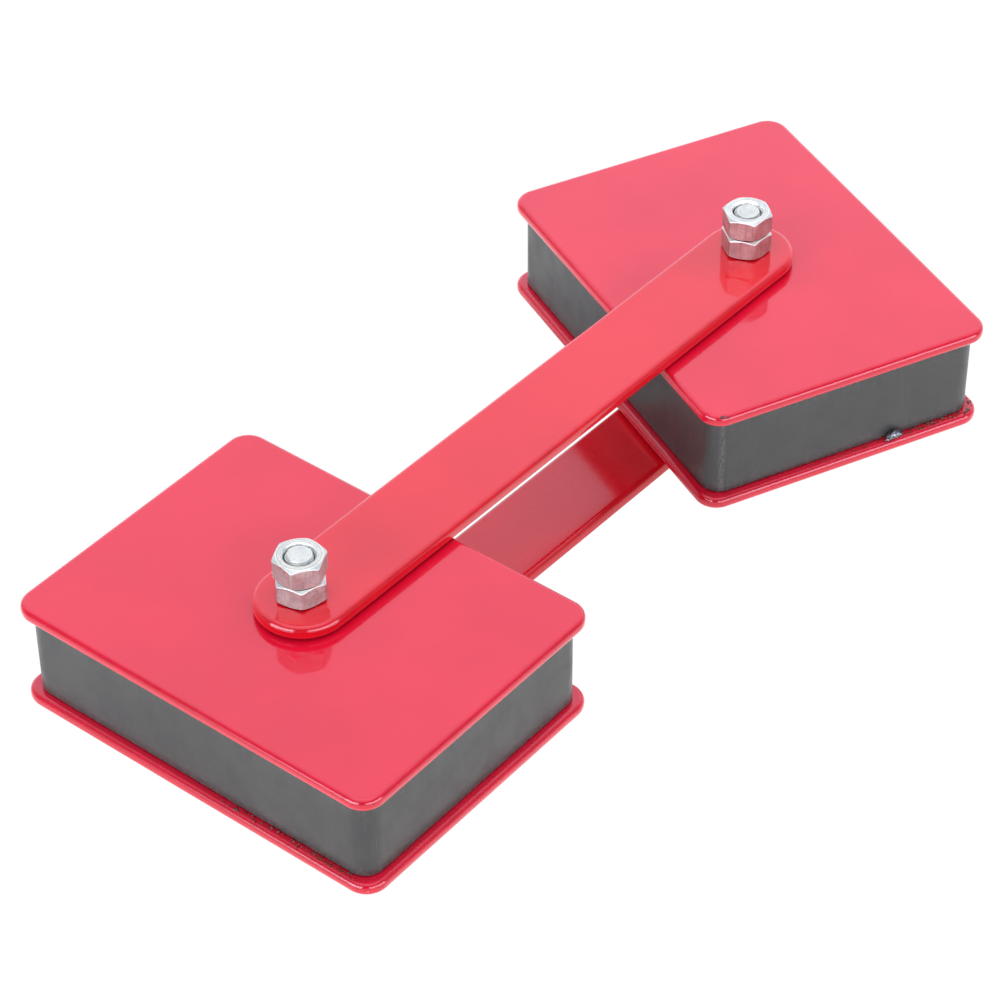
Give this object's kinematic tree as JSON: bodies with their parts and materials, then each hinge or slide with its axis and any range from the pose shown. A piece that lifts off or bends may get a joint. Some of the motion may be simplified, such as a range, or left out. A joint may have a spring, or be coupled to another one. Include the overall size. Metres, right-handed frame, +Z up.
{
  "type": "welding magnet holder",
  "caption": "Two rectangular magnet blocks joined by a pair of flat link bars; each block swivels on a bolt locked by stacked hex nuts to hold steel parts at an angle for welding.",
  "frame": {"origin": "centre of the underside of bolt A's head, on block A's swivel axis, at the level the holder stands on", "axes": "+X along the link bars from bolt A to bolt B, +Z up along the bolts towards the nuts, +Y completes the frame"},
  "size_m": [0.2324, 0.1098, 0.0471],
  "materials": {
    "red_coat": "gloss",
    "grey_body": "satin",
    "zinc": "polished",
    "ferrite": "matte",
    "plain_steel": "satin"
  },
  "bodies": {
    "link": {"lower_link_bar": "red_coat", "upper_link_bar": "red_coat"},
    "block_a": {"block_a_bottom_plate": "red_coat", "block_a_body": "grey_body", "block_a_magnet_1": "ferrite", "block_a_magnet_2": "ferrite", "block_a_sleeve": "plain_steel", "block_a_top_plate": "red_coat"},
    "block_b": {"block_b_bottom_plate": "red_coat", "block_b_body": "grey_body", "block_b_magnet_1": "ferrite", "block_b_magnet_2": "ferrite", "block_b_sleeve": "plain_steel", "block_b_top_plate": "red_coat"},
    "bolt_a": {"bolt_a": "zinc"},
    "clamp_nut_a": {"clamp_nut_a": "zinc"},
    "jam_nut_a": {"jam_nut_a": "zinc"},
    "bolt_b": {"bolt_b": "zinc"},
    "clamp_nut_b": {"clamp_nut_b": "zinc"},
    "jam_nut_b": {"jam_nut_b": "zinc"}
  },
  "joints": [
    {"name": "block_a_swivel", "type": "hinge", "parent": "link", "child": "block_a", "pos_m": [0, 0, 0.0204], "axis": [0, 0, 1], "continuous": true},
    {"name": "block_b_swivel", "type": "hinge", "parent": "link", "child": "block_b", "pos_m": [0.1475, 0, 0.0204], "axis": [0, 0, 1], "continuous": true},
    {"name": "bolt_a_turn", "type": "hinge", "parent": "link", "child": "bolt_a", "pos_m": [0, 0, 0], "axis": [0, 0, -1], "range_deg": [0, 1440]},
    {"name": "clamp_nut_a_lift", "type": "slide", "parent": "link", "child": "clamp_nut_a", "axis": [0, 0, 1], "range_m": [0, 0.004]},
    {"name": "jam_nut_a_lift", "type": "slide", "parent": "link", "child": "jam_nut_a", "axis": [0, 0, 1], "range_m": [0, 0.004]},
    {"name": "bolt_b_turn", "type": "hinge", "parent": "link", "child": "bolt_b", "pos_m": [0.1475, 0, 0], "axis": [0, 0, -1], "range_deg": [0, 1440]},
    {"name": "clamp_nut_b_lift", "type": "slide", "parent": "link", "child": "clamp_nut_b", "axis": [0, 0, 1], "range_m": [0, 0.004]},
    {"name": "jam_nut_b_lift", "type": "slide", "parent": "link", "child": "jam_nut_b", "axis": [0, 0, 1], "range_m": [0, 0.004]}
  ],
  "couplings": [
    {"joint": "clamp_nut_a_lift", "follows": "bolt_a_turn", "m_per_rad": 0.00015915},
    {"joint": "jam_nut_a_lift", "follows": "bolt_a_turn", "m_per_rad": 0.00015915},
    {"joint": "clamp_nut_b_lift", "follows": "bolt_b_turn", "m_per_rad": 0.00015915},
    {"joint": "jam_nut_b_lift", "follows": "bolt_b_turn", "m_per_rad": 0.00015915}
  ]
}
